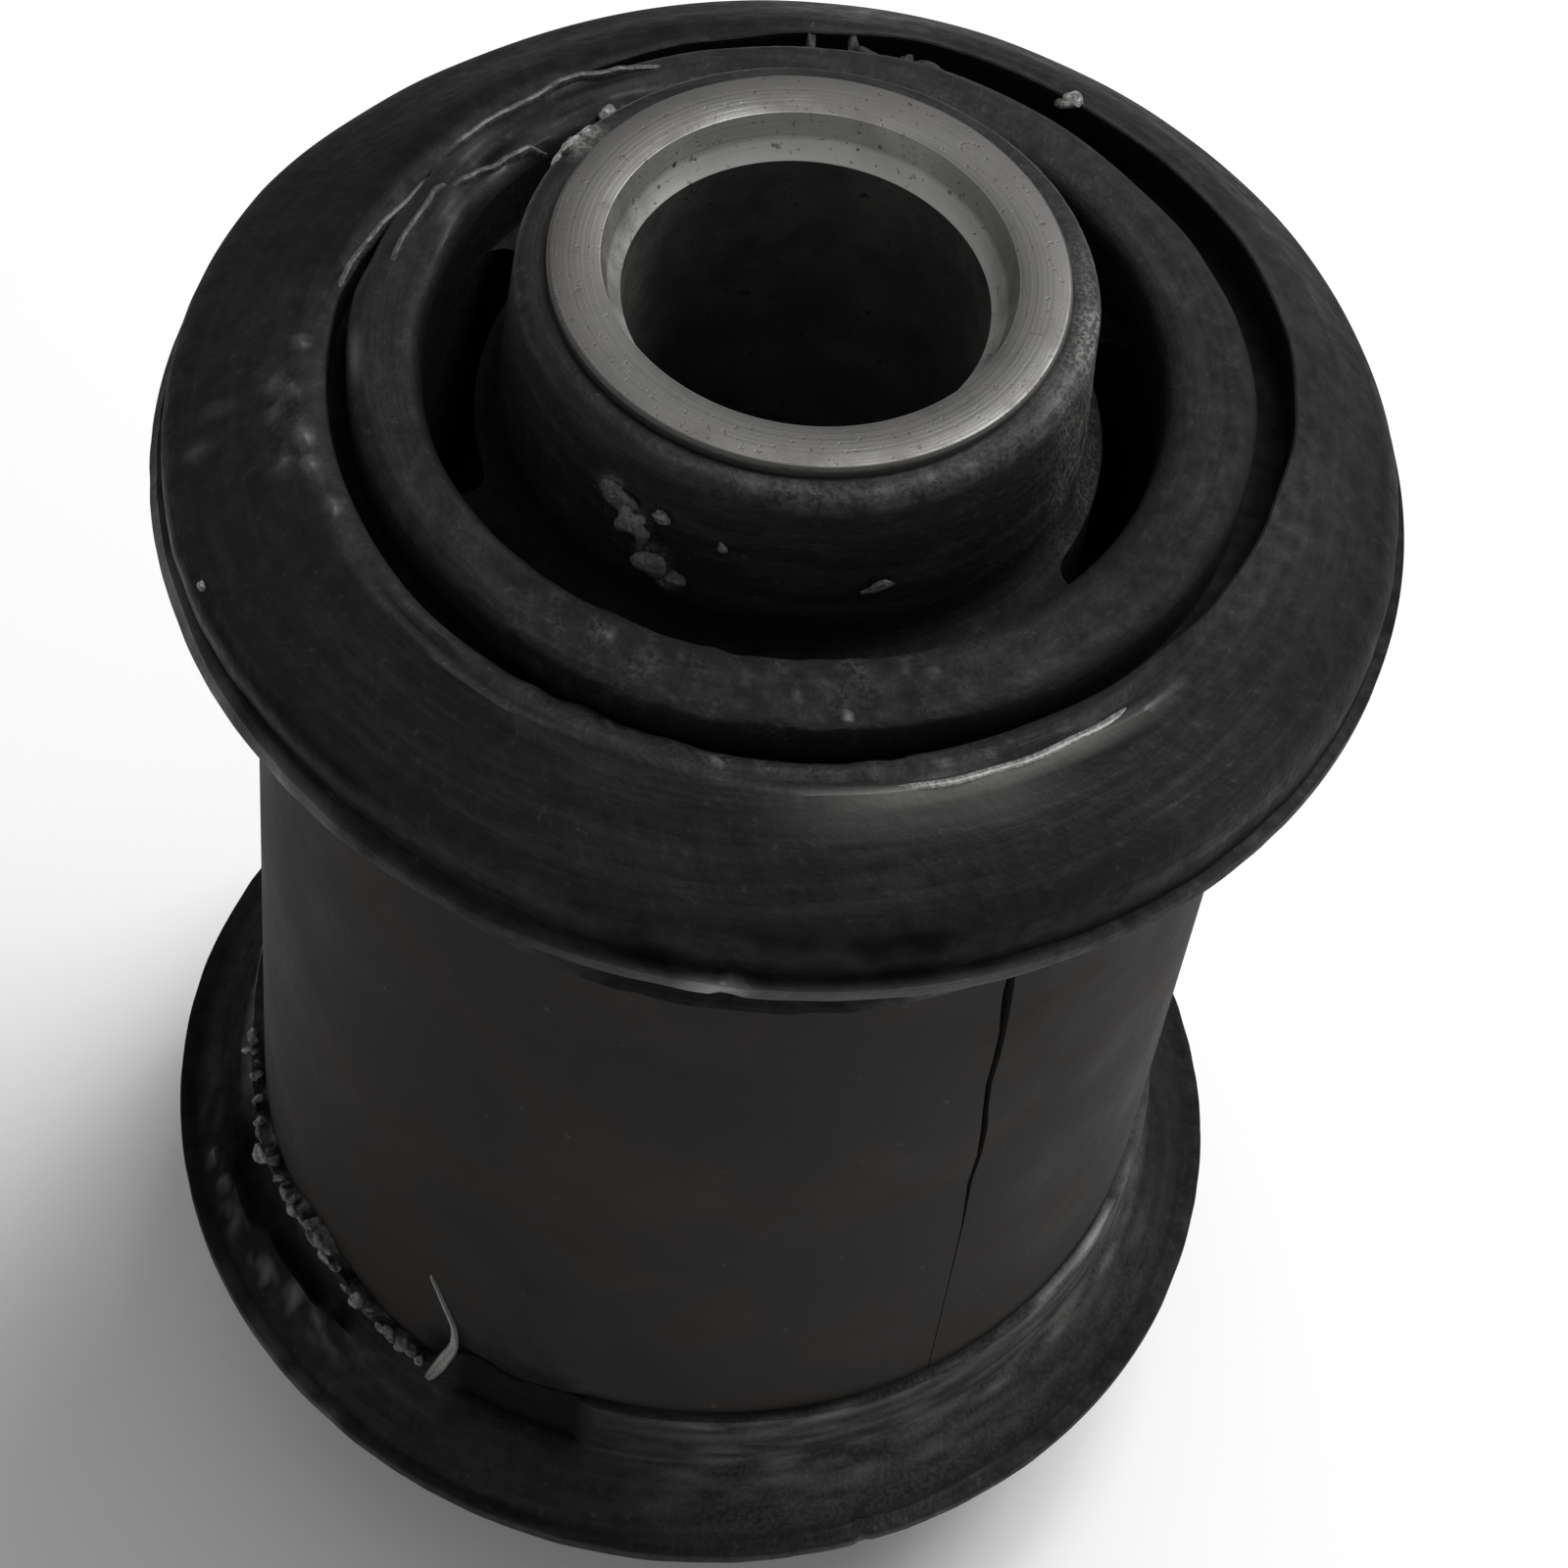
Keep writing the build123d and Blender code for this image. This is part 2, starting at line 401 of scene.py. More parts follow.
rubber_corners = both_ends([
    (sleeve_radius, hub_top, 0),
    (hub_radius, hub_top, 0.6 * MM),
    (hub_foot_radius, recess_floor, 1.2 * MM),
    (collar_wall, recess_floor, 0.15 * MM),
    (collar_wall, collar_top, 0.8 * MM),
    (groove_inner_wall, collar_top, 0.8 * MM),
    (groove_inner_wall, groove_floor, 0.1 * MM),
    (groove_outer_wall, groove_floor, 0.1 * MM),
    (groove_outer_wall, flange_lip, 0.2 * MM),
    (crest_radius, crest_height, 0.9 * MM),
    (flange_edge, shoulder_corner, 2.2 * MM),
    (flange_edge, parting_height + rib_thickness / 2, 0.1 * MM),
    (rib_radius, parting_height + rib_thickness / 2, 0.12 * MM),
    (rib_radius, parting_height - rib_thickness / 2, 0.12 * MM),
    (flange_edge, parting_height - rib_thickness / 2, 0.1 * MM),
    (skirt_radius, skirt_root, 0.5 * MM),
    (skirt_radius, skirt_lip, 0.15 * MM),
    (shell_radius, skirt_lip, 0),
    (shell_radius, shell_end, 0),
    (shell_inner_radius, shell_end, 0),
])


def rubber_spacing(point):
    """How far apart the rings may lie: close where flash stands, wide where steel hides them."""
    radius, height = point
    if any(abs(radius - steel) < 0.01 * MM for steel in (sleeve_radius, shell_inner_radius, shell_radius)):
        return bush_length
    if height < bush_length / 2:
        return 0.4 * MM if radius > shell_radius and height > 11 * MM else 1.4 * MM
    if collar_wall < radius < groove_inner_wall and height > recess_floor + 1 * MM:
        return 0.25 * MM
    return 0.4 * MM if radius < crest_radius + 0.8 * MM else 0.55 * MM


rubber_section = divided(eased_section(rubber_corners, arc_step=0.26 * MM), rubber_spacing)
rubber_moulding = turned_piece("rubber_moulding", rubber_section, rubber_steps)

# Each void is a kidney-shaped pocket let down into the recess floor.
void_width = 2.0 * MM
void_depth = 12 * MM
void_radius = collar_wall - void_width / 2 + 0.02 * MM
void_half_angle = radians(24)
void_end_angle = void_width / 2 / void_radius
void_mouth = 0.1 * MM
void_steps = 6
round_end = [(-void_half_angle - void_end_angle * cos(radians(turn)), sin(radians(turn)))
             for turn in range(12, 90, 13)]
void_stations = round_end + [(void_half_angle * step / void_steps, 1)
                             for step in range(-void_steps, void_steps + 1)]
void_stations += [(-angle, width) for angle, width in reversed(round_end)]


def kidney_core(side_azimuth, low, high):
    """The core that leaves one void: an upright face swept round the bolt axis."""
    core = new_primitive(bpy.ops.mesh.primitive_plane_add, size=1)
    bpy.ops.object.mode_set(mode="EDIT")
    bpy.ops.mesh.select_all(action="SELECT")
    bpy.ops.transform.rotate(value=pi / 2, orient_axis="X", center_override=(0, 0, 0))
    bpy.ops.transform.resize(value=(void_stations[0][1] * void_width, 1, high - low))
    bpy.ops.transform.translate(value=(void_radius, 0, (low + high) / 2))
    angle, width = void_stations[0]
    swing = -(side_azimuth + angle)
    bpy.ops.transform.rotate(value=swing, orient_axis="Z", center_override=(0, 0, 0))
    for next_angle, next_width in void_stations[1:]:
        bpy.ops.mesh.extrude_region_move()
        turn = side_azimuth + next_angle
        middle = Vector((cos(turn), sin(turn), 0)) * void_radius
        bpy.ops.transform.rotate(value=angle - next_angle, orient_axis="Z", center_override=(0, 0, 0))
        growth = next_width / width
        bpy.ops.transform.resize(value=(growth, growth, 1), center_override=middle)
        angle, width = next_angle, next_width
    face_outwards()
    return core


for side_azimuth in (0, pi):
    void_top = recess_floor + void_mouth
    cut_away(rubber_moulding, kidney_core(side_azimuth, recess_floor - void_depth, void_top))
    cut_away(rubber_moulding, kidney_core(side_azimuth, bush_length - void_top,
                                          bush_length - recess_floor + void_depth))


# The hot rubber never fills its mould quite true, and it is torn and scuffed since, so each
# point of the moulding is worked from here, in degrees and millimetres. Lists of
# (azimuth, value) say how a form changes round the bush. These are its corners and levels.
half_way = bush_length / MM / 2
recess_side = collar_wall / MM
collar_side = groove_inner_wall / MM
flange_inside = groove_outer_wall / MM
shell_side = shell_radius / MM
rim_side = flange_edge / MM
parting = parting_height / MM
whole_lip = (bush_length - skirt_lip) / MM


def around(azimuth, stations):
    """Reads a value at an azimuth, easing from each station to the next."""
    azimuth = (azimuth - stations[0][0]) % 360 + stations[0][0]
    closed = stations + [(stations[0][0] + 360, stations[0][1])]
    for (start, low), (end, high) in zip(closed, closed[1:]):
        if start <= azimuth <= end:
            share = (azimuth - start) / (end - start)
            return low + (high - low) * share * share * (3 - 2 * share)


def hump(distance, reach):
    """1 at the middle of a form, easing down to 0 at its reach."""
    return 0.5 + 0.5 * cos(pi * min(abs(distance) / reach, 1))


def ramp(value, start, end):
    """0 before the start and 1 past the end, climbing evenly between them."""
    return min(max((value - start) / (end - start), 0), 1)


def apart(azimuth, middle):
    """Degrees from a form's middle, the short way round."""
    return (azimuth - middle + 180) % 360 - 180


def rough(place, grain, seed):
    """Uneven value from -1 to 1 that changes over a length of grain millimetres."""
    return noise.noise(place / (grain * MM) + Vector((seed, 3 * seed, -seed)))


class Spot:
    """One point of the moulding as it is worked, in degrees and millimetres, and the wear, painted
    highlight and painted shade on it.
    """

    def __init__(self, place):
        self.azimuth = degrees(atan2(place.y, place.x))
        self.radius = hypot(place.x, place.y) / MM
        self.height = place.z / MM
        self.out = Vector((place.x, place.y, 0)).normalized()
        self.place = place
        self.scuffed_and_lit = self.rubbed_and_highlit = self.painted_shade = 0.0

    def set_place(self):
        self.place = self.out * self.radius * MM + Vector((0, 0, self.height * MM))

    def push(self, amount):
        self.place += self.out * amount * MM

    def lift(self, amount):
        self.place.z += amount * MM

    def about(self, azimuth, reach, fullness=1):
        return min(fullness * hump(apart(self.azimuth, azimuth), reach), 1)

    def near(self, azimuth, other, own, size):
        """1 at a lump's middle, where own is the spot's height or radius and other the lump's."""
        across = self.radius * radians(apart(self.azimuth, azimuth))
        return hump(hypot(across, own - other), size)

    def wear(self, scuffed_and_lit=0, rubbed_and_highlit=0, painted_shade=0):
        self.scuffed_and_lit = max(self.scuffed_and_lit, scuffed_and_lit)
        self.rubbed_and_highlit = max(self.rubbed_and_highlit, rubbed_and_highlit)
        self.painted_shade = max(self.painted_shade, painted_shade)


# How much painted shade each form gets at each azimuth: some sides of the rubber are painted darker than
# others.
collar_painted_shade = [(-180, 0.2), (-140, 0.2), (-110, 0.5), (-70, 0.5), (-50, 0.3), (-30, 0.5), (-10, 0.45),
                (10, 0.45), (30, 0.3), (50, 0.1), (110, 0.1), (130, 0.3), (170, 0.3)]
flange_painted_shade = [(-180, 0.5), (-168, 0.4), (-155, 0.2), (-90, 0.1), (-60, 0.0), (-45, 0.2), (-30, 0.4),
                (-10, 0.3), (10, 0.5), (25, 0.35), (35, 0.3), (50, 0.5), (75, 0.5), (90, 0.15),
                (104, 0.6), (115, 0.8), (130, 0.7), (150, 0.9), (170, 0.85)]
shoulder_painted_shade = [(-180, 0.65), (-155, 0.5), (-140, 0.3), (-120, 0.3), (-100, 0.2), (-80, 0.3), (-60, 0.45),
                  (-40, 0.0), (-20, 0.5), (0, 0.65), (25, 0.6), (60, 0.4), (90, 0.2), (120, 0.7)]
rim_painted_shade = [(-180, 0.4), (-150, 0.0), (-110, 0.1), (-80, 0.3), (-40, 0.3), (0, 0.6), (60, 0.4), (120, 0.7)]
lower_painted_shade = [(-180, 0.85), (-170, 0.8), (-150, 0.6), (-125, 0.0), (-60, 0.0), (-45, 0.3),
               (-28, 0.55), (-15, 0.4), (0, 0.6), (60, 0.4), (120, 0.4)]
shoulder_start, shoulder_end = 21.5, 23.3


def paint_side_shade(spot):
    """Paints shade on a point by as much as its azimuth and its form say."""
    if spot.height < half_way:
        spot.wear(painted_shade=around(spot.azimuth, lower_painted_shade) if spot.radius > shell_side + 1 else 0)
    elif spot.radius > rim_side - 0.4 and spot.height < parting + 1.6:
        spot.wear(painted_shade=around(spot.azimuth, rim_painted_shade))
    elif spot.radius > flange_inside:
        on_face = around(spot.azimuth, flange_painted_shade)
        on_shoulder = around(spot.azimuth, shoulder_painted_shade)
        spot.wear(painted_shade=on_face + ramp(spot.radius, shoulder_start, shoulder_end) * (on_shoulder - on_face))
    elif spot.radius > recess_side - 0.2:
        spot.wear(painted_shade=around(spot.azimuth, collar_painted_shade))


groove_middle = [(-180, 17.75), (-150, 17.85), (-130, 17.95), (-110, 18.0), (-85, 18.1), (-60, 18.0),
                 (-40, 18.1), (-25, 18.35), (-10, 18.5), (5, 18.8), (18, 18.85), (30, 18.75),
                 (45, 18.5), (60, 18.4), (80, 18.4), (95, 18.0), (108, 17.7), (122, 17.5),
                 (136, 17.5), (150, 17.4), (160, 17.3), (172, 17.5)]
groove_opening = [(-180, 0.6), (-160, 0.8), (-130, 1.0), (-118, 0.7), (-108, 0.25), (-97, 0.3),
                  (-88, 0.6), (-66, 0.5), (-55, 0.35), (-40, 0.5), (-25, 0.8), (-10, 1.05),
                  (5, 1.4), (18, 1.75), (30, 1.95), (45, 2.05), (60, 1.8), (80, 1.7), (95, 1.4),
                  (108, 1.1), (122, 1.0), (134, 0.35), (150, 0.3), (160, 0.4), (172, 0.55)]
crest_relief = [(-180, 0.8), (-150, 1), (-45, 1), (-25, 0.4), (0, 0), (80, 0), (110, 0.4), (135, 0.8)]
led_from, led_to = 14.6, 24.0
groove_shade_from = 65.7


def lead_groove(spot):
    """The groove wanders and is painted darker with depth as shade; its crest dies away at the right, and
    the collar is fuller at the front.
    """
    radius, height = spot.radius, spot.height
    middle = around(spot.azimuth, groove_middle)
    opening = around(spot.azimuth, groove_opening)
    inner, outer = middle - opening / 2, middle + opening / 2
    # Painted shade: the groove is painted darker the deeper it goes.
    if collar_side - 0.1 < radius < flange_inside + 0.1 and height < groove_shade_from:
        spot.wear(painted_shade=min((groove_shade_from - height) / 0.6, 0.85))
    if radius <= collar_side:
        spot.radius = led_from + (radius - led_from) * (inner - led_from) / (collar_side - led_from)
    elif radius <= flange_inside:
        spot.radius = inner + (radius - collar_side) * (outer - inner)
    else:
        spot.radius = outer + (radius - flange_inside) * (led_to - outer) / (led_to - flange_inside)
    if height > 65 and flange_inside - 0.2 < radius < 21:
        flat = 1 - around(spot.azimuth, crest_relief)
        spot.height += flat * (0.5 * hump(radius - flange_inside, 0.9) - 0.22 * hump(radius - 19.9, 1.0))
    if 16.3 < radius <= collar_side and 65.6 < height < 66.9:
        spot.height += 0.65 * (66.8 - height) * spot.about(-92, 60, 1.6)


def mark_collar(spot):
    """The collar is torn and speckled at the front, and creased where flash stands at the back left, with
    painted shade in the crease valleys and a painted highlight along its left edge.
    """
    front = spot.about(-92, 48, 1.6)
    if front:
        spot.lift(0.13 * front * rough(spot.place, 0.9, 7))
        spot.push(0.13 * front * rough(spot.place, 1.1, 8))
        spot.wear(scuffed_and_lit=front * (0.02 + 0.25 * max(rough(spot.place, 0.8, 9), 0)),
                  rubbed_and_highlit=0.4 * front * max(2.4 * rough(spot.place, 0.6, 10) - 0.9, 0))
    creased = spot.about(143, 38, 1.6)
    if creased and spot.height > 66:
        along = 0.13 * radians(spot.azimuth % 360) * MM * 17
        folds = rough(Vector((spot.radius * MM, along, 0)), 0.5, 5)
        spot.lift(0.3 * creased * folds)
        spot.wear(rubbed_and_highlit=0.35 * creased * max(folds, 0), painted_shade=creased * max(-1.8 * folds, 0))
    # Painted highlight along the collar's left edge.
    spot.wear(rubbed_and_highlit=0.4 * spot.about(-169, 7) * hump(spot.radius - 17.1, 0.35))


# Low lumps on the left of the flange: azimuth, radius and size across.
flange_lumps = [(-173.5, 19.35, 0.6), (-168, 20.3, 0.7), (-166.5, 19.7, 0.5), (-164.5, 20.45, 0.6),
                (-159.5, 19.45, 0.8), (-157, 20.45, 0.6), (-155.5, 19.5, 0.6), (-149, 19.15, 0.6),
                (-168.5, 22.6, 0.5), (-164, 23.25, 0.6)]
flange_lean = Vector((0.3, -0.12, 0)) * MM
fold_crest, fold_valley = 20.0, 19.35


def mark_flange(spot):
    """The flange leans a little, and has a fold along its crest, a rough patch and a full left side; it
    carries a painted highlight along the crest at the front, and painted shade in the fold valley, in the
    patch's pits, at the back left and on its edge wall.
    """
    spot.place += flange_lean * ramp(spot.radius, 18, 22)
    spot.push(-0.42 * spot.about(130, 48) * ramp(spot.radius, 20, 22.5))
    if spot.height > parting + 0.5:
        spot.push(0.55 * spot.about(-176, 62, 1.5) * ramp(spot.radius, 22.5, 24))
    if spot.height > parting + 3:
        left_fold = 0.18 * spot.about(-126, 28)
        front_fold = 0.24 * spot.about(-63, 36, 1.6)
        fold = hump(spot.radius - fold_crest, 0.4) - 1.3 * hump(spot.radius - fold_valley, 0.3)
        spot.lift((left_fold + front_fold) * fold)
        # Painted highlight along the crest at the front, and painted shade in the fold valley at the left.
        spot.wear(rubbed_and_highlit=spot.about(-62, 27, 1.6) * hump(spot.radius - fold_crest, 0.42),
                  painted_shade=0.8 * spot.about(-126, 24, 1.5) * hump(spot.radius - 19.4, 0.3))
        spot.wear(rubbed_and_highlit=0.3 * spot.about(-70, 22, 1.4) * hump(spot.radius - 20.4, 1.3))
        for azimuth, radius, size in flange_lumps:
            lump = spot.near(azimuth, radius, spot.radius, size)
            spot.lift(0.22 * lump)
            spot.wear(rubbed_and_highlit=0.36 * lump)
        patch = spot.about(-163, 17, 1.3) * min(1.4 * hump(spot.radius - fold_crest, 1.3), 1)
        pitted = rough(spot.place, 0.85, 11)
        spot.lift(0.25 * patch * pitted)
        # Painted shade in the pits of the rough patch.
        spot.wear(scuffed_and_lit=0.05 * patch, rubbed_and_highlit=0.08 * patch * max(2 * pitted, 0),
                  painted_shade=0.8 * patch * max(-2 * pitted - 0.3, 0))
        # Painted shade on the flange face at the back left.
        spot.wear(painted_shade=0.75 * spot.about(155, 34, 1.6) * hump(spot.radius - 20.3, 0.6))
    # Painted shade, dark and broken, lies on the flange's edge wall just above the parting rib, at the
    # front and at the left.
    if spot.radius > rim_side - 0.7 and spot.height < parting + 2.6:
        edge_wall_shade = spot.about(-83, 32, 1.7) * (0.55 + 0.8 * rough(spot.place, 1.4, 37))
        spot.wear(painted_shade=edge_wall_shade if spot.radius < rim_side + 0.2 else 0)
        spot.wear(painted_shade=0.9 * spot.about(-143, 34, 2) * hump(spot.height - 62.2, 0.7))


def mark_rim(spot):
    """The rim is nicked; the upper parting rib carries a painted highlight at the front and the left, and
    the lower rib is rubbed pale at the left.
    """
    upper = spot.height > half_way
    nick = spot.about(-87.6, 1.2) if upper else spot.about(-64, 1.0)
    spot.push(0.05 * rough(spot.place, 1.5, 13) - 0.18 * nick)
    if upper and spot.radius > rim_side + 0.3:
        spot.wear(rubbed_and_highlit=max(0.2 * spot.about(-80, 30, 1.8), spot.about(-89, 5)))
        spot.wear(rubbed_and_highlit=0.3 * spot.about(-143, 32, 2) * max(0.7 + rough(spot.place, 1.6, 83), 0))
    elif spot.radius > rim_side + 0.3:
        spot.wear(rubbed_and_highlit=0.35 * spot.about(-132, 24) * max(0.5 + 1.2 * rough(spot.place, 1.4, 59), 0))


def shade_skirt(spot):
    """The upper skirt has shrunk a little from the sleeve at the front, and is painted black there as
    shadow.
    """
    gap = spot.about(-87, 24, 2)
    if spot.radius > shell_side + 0.2:
        spot.lift(-0.2 * gap * (1 + rough(spot.place, 1.5, 43)))
    spot.wear(painted_shade=gap)


torn_lip = [(-180, 18.7), (-175, 18.2), (-171, 17.2), (-167, 16.4), (-162, 15.9), (-157, 15.8),
            (-152, 16.0), (-148, 16.5), (-143, 17.2), (-138, 17.6), (-134, 17.1), (-130, 16.6),
            (-125, 16.1), (-121, 16.1), (-117.5, 16.0), (-115.5, 18.2), (-111, 18.4), (-107, 18.0),
            (-102, 18.3), (-98, 18.6), (-95, 18.7)]
bite_middle, bite_reach, bite_fullness = -105.4, 10.9, 5


def tear_skirt(spot):
    """The skirt at the lower end is torn down to a ragged lip, with a painted highlight on its edge and
    painted shade below it, then bitten away, the bite painted near-black as shadow.
    """
    share = ramp(spot.height, 14.9, whole_lip)
    ragged = spot.about(-143, 38, 1.8)
    torn = whole_lip - around(spot.azimuth, torn_lip) - 0.45 * ragged * rough(spot.place, 0.9, 17)
    spot.lift(-max(torn, 0) * share)
    patchy = rough(spot.place, 0.9, 19)
    if spot.radius > shell_side + 0.2:
        spot.push(0.35 * ragged * share * max(patchy + 0.3, 0))
        spot.push(-0.44 * spot.about(bite_middle, bite_reach - 0.9, bite_fullness))
        # Painted shade on the skirt under the ragged lip at the left.
        spot.wear(painted_shade=0.9 * ragged * hump(share - 0.4, 0.5))
    # A painted highlight along the torn lip's edge, with painted shade in its dents.
    edge = ragged * hump(share - 1, 0.25)
    spot.wear(scuffed_and_lit=0.2 * edge, rubbed_and_highlit=0.5 * edge * max(1.6 * patchy, 0),
              painted_shade=edge * max(0.5 - 2 * patchy, 0))
    # The bite is painted near-black as shadow.
    spot.wear(painted_shade=spot.about(bite_middle, bite_reach, bite_fullness))


def streak_skirt(spot):
    """At the right the skirt and the flange beside it are streaked pale, as if levered along."""
    along = Vector((spot.radius, 0.22 * radians(spot.azimuth % 360) * spot.radius, spot.height)) * MM
    streak = max(1.5 * rough(along, 0.5, 47) + 0.35, 0)
    fade = 1 - ramp(spot.radius, 22.2, 24)
    spot.wear(scuffed_and_lit=0.06 * spot.about(-48, 50, 3), rubbed_and_highlit=0.3 * spot.about(-47.5, 49, 5) * streak * fade)


def pull_flange_back(spot):
    """The back of the lower flange is pulled hollow where the skirt was torn, and less at the bite; the
    hollow and the bite are painted dark as shadow.
    """
    broken = 1 + 0.9 * rough(spot.place, 1.3, 41)
    left = spot.about(-146, 26, 2)
    reach = (1.15 - 0.8 * ramp(spot.azimuth, -158, -126)) * (1 + 0.3 * rough(spot.place, 2.2, 71))
    hollow = left * hump(max(spot.radius - 21.5 - 0.6 * reach, 0), 1.3 * reach)
    spot.lift(-0.9 * hollow * broken * ramp(spot.radius, 21.4, 21.8))
    spot.lift(0.4 * left * hump(spot.radius - 22.2 - 1.6 * reach, 0.6) * max(broken - 0.7, 0))
    # Painted shadow in the hollow.
    spot.wear(painted_shade=min(1.5 * hollow * broken, 1))
    lumps = spot.about(-148, 32, 1.8) * hump(spot.radius - 22.1 - 1.5 * reach, 0.9)
    knobbly = rough(spot.place, 0.75, 73)
    spot.lift(0.35 * lumps * knobbly)
    spot.wear(rubbed_and_highlit=0.5 * lumps * max(2.4 * knobbly, 0))
    bite = spot.about(bite_middle, bite_reach, bite_fullness) * (1 + 0.5 * rough(spot.place, 1.2, 89))
    # Painted shadow at the bite.
    spot.wear(painted_shade=0.6 * bite * min(1.4 * hump(spot.radius - 21.4, 1.5), 1))


# Lumps of flash on the hub: azimuth, height, size across and how far each stands out.
hub_crumbs = [(-121, 68.7, 1.0, 0.4), (-115.5, 67.9, 0.9, 0.5), (-111, 66.4, 1.1, 0.4),
              (-107.5, 65.6, 0.7, 0.3), (149, 71.3, 0.8, 0.25), (154, 71.2, 1.1, 0.35)]
hub_edge = 70.6


def crumb_hub(spot):
    """The hub has crumbs stuck to it, a top edge at the front painted pale as a highlight, and painted
    light on its right flank.
    """
    grit = rough(spot.place, 0.5, 2)
    for azimuth, height, size, stand in hub_crumbs:
        crumb = spot.near(azimuth, height, spot.height, size)
        if crumb:
            spot.push(stand * crumb * (0.5 + 0.9 * max(grit + 0.2, 0)))
            spot.wear(scuffed_and_lit=crumb * (0.5 + 0.5 * grit), rubbed_and_highlit=0.4 * crumb)
    # Painted highlight along the hub's top edge at the front.
    if spot.radius > 10.2:
        pale = spot.about(-62, 70, 1.4) * ramp(spot.height, hub_edge, hub_edge + 0.5)
        spot.wear(scuffed_and_lit=0.08 * pale, rubbed_and_highlit=pale * max(0.03 + 0.4 * rough(spot.place, 0.9, 53), 0))
    # Painted light on the hub's right flank.
    lit_flank = spot.about(-4, 34) * max(0.8 + 0.9 * rough(spot.place, 1.3, 97), 0)
    spot.wear(scuffed_and_lit=0.45 * lit_flank, rubbed_and_highlit=0.12 * lit_flank)


def worked(place):
    """Works one point of the true moulding, and gives it back with the wear and the painted light and shade
    that it shows.
    """
    spot = Spot(place)
    radius, height = spot.radius, spot.height
    if radius < sleeve_radius / MM + 0.3:
        return spot
    upper = height > parting + 1
    if upper and led_from < radius < led_to:
        lead_groove(spot)
    if upper and 14.3 < radius < 15.4 and height > 63.5:
        spot.radius += 0.35 * spot.about(-140, 50) * ramp(height, 63.5, 65) * (15.4 - radius)
    spot.set_place()
    paint_side_shade(spot)
    if upper and radius < 12.4:
        crumb_hub(spot)
    # Painted shade: the recess is painted darker the deeper it goes.
    if upper and 11 < radius < recess_side + 0.4 and height < 65.6:
        spot.wear(painted_shade=min((65.6 - height) / 1.2, 0.75))
    if upper and recess_side < radius < 19 and height > 65:
        mark_collar(spot)
    if height > parting and radius > 18:
        mark_flange(spot)
    if radius > rim_side - 0.1:
        mark_rim(spot)
    if 53 < height < 55 and shell_side - 0.1 < radius < shell_side + 1:
        shade_skirt(spot)
    if (14.9 if radius > shell_side + 0.2 else 15.1) < height < 20 and shell_side - 0.1 < radius < 22.2:
        tear_skirt(spot)
    if 11.6 < height < 20 and shell_side + 0.2 < radius < rim_side - 0.1:
        streak_skirt(spot)
        if height < 16:
            pull_flange_back(spot)
    spot.push(0.04 * rough(spot.place, 5, 23))
    if radius < rim_side - 0.1 and not shell_side - 0.1 < radius < shell_side + 0.2:
        spot.lift(0.05 * rough(spot.place, 4, 29))
    reach = hypot(spot.place.x, spot.place.y)
    if reach > rib_radius:
        spot.place.x *= rib_radius / reach
        spot.place.y *= rib_radius / reach
    spot.place.z = min(max(spot.place.z, rubber_low.z), rubber_high.z)
    return spot


spots = [worked(vertex.co.copy()) for vertex in rubber_moulding.data.vertices]
for vertex, spot in zip(rubber_moulding.data.vertices, spots):
    vertex.co = spot.place


def thicken(sheet, thickness, rounding):
    """Gives a thin sheet of torn rubber its thickness, and rounds it off."""
    apply_modifier(sheet, "SOLIDIFY", thickness=thickness * MM, offset=0)
    apply_modifier(sheet, "SUBSURF", levels=rounding, render_levels=rounding)


# A strip of the torn skirt clings to the sleeve at its upper end, then hangs and curls.
# These lists go from 0 at that end to 10 at its tip, in degrees and millimetres.
strip_azimuth = [(0, -119.0), (2, -117.0), (4, -115.0), (5, -114.2), (7, -115.3), (9, -116.6), (10, -117.4)]
strip_height = [(0, 23.1), (2, 21.5), (4, 19.9), (5, 19.0), (7, 17.5), (9, 15.9), (10, 15.1)]
strip_stand = [(0, 0.0), (3, 0.05), (4, 0.12), (5, 0.4), (7, 0.75), (9, 0.9), (10, 0.75)]
strip_breadth = [(0, 0.14), (3, 0.22), (4, 0.3), (5, 0.5), (7, 0.62), (9, 0.5), (10, 0.3)]
curled_strip = new_primitive(bpy.ops.mesh.primitive_grid_add, x_subdivisions=4, y_subdivisions=12, size=1)
for vertex in curled_strip.data.vertices:
    along = (vertex.co.y + 0.5) * 9.99
    across = vertex.co.x * around(along, strip_breadth)
    azimuth = radians(around(along, strip_azimuth)) + 0.8 * across * MM / shell_radius
    reach = shell_radius + (around(along, strip_stand) + 0.5 * abs(across) * (along > 4.5)) * MM
    drop = around(along, strip_height) - 0.45 * across
    vertex.co = Vector((reach * cos(azimuth), reach * sin(azimuth), drop * MM))
    vertex.co += Vector((0, 0, 0.15 * MM * rough(vertex.co, 0.6, 31)))
thicken(curled_strip, 0.3, rounding=2)

# Flash is thin rubber squeezed out where the mould parts. Each ribbon of it is a run of
# (azimuth, radius) pairs, then how high it stands, how thick it is and how ragged.
flash_runs = [
    ([(112, 16.05), (118, 16.2), (124, 16.5), (130, 16.7), (136, 16.75), (142, 16.85), (149, 16.95),
      (159, 17.25), (168, 17.75), (174, 18.15), (181, 18.35)], 0.3, 0.3, 0.35),
    ([(141, 14.6), (146, 14.7), (150, 14.95), (154, 15.4), (159, 15.75)], 0.26, 0.3, 0.35),
    ([(156, 15.9), (161, 16.15), (168, 16.2), (176, 16.35)], 0.22, 0.28, 0.35),
    # The last ribbon, along the flange crest at the front, carries a painted highlight.
    ([(-76, 19.9), (-70, 19.95), (-60, 19.9), (-50, 19.8), (-40, 19.65)], 0.08, 0.34, 0.15),
]

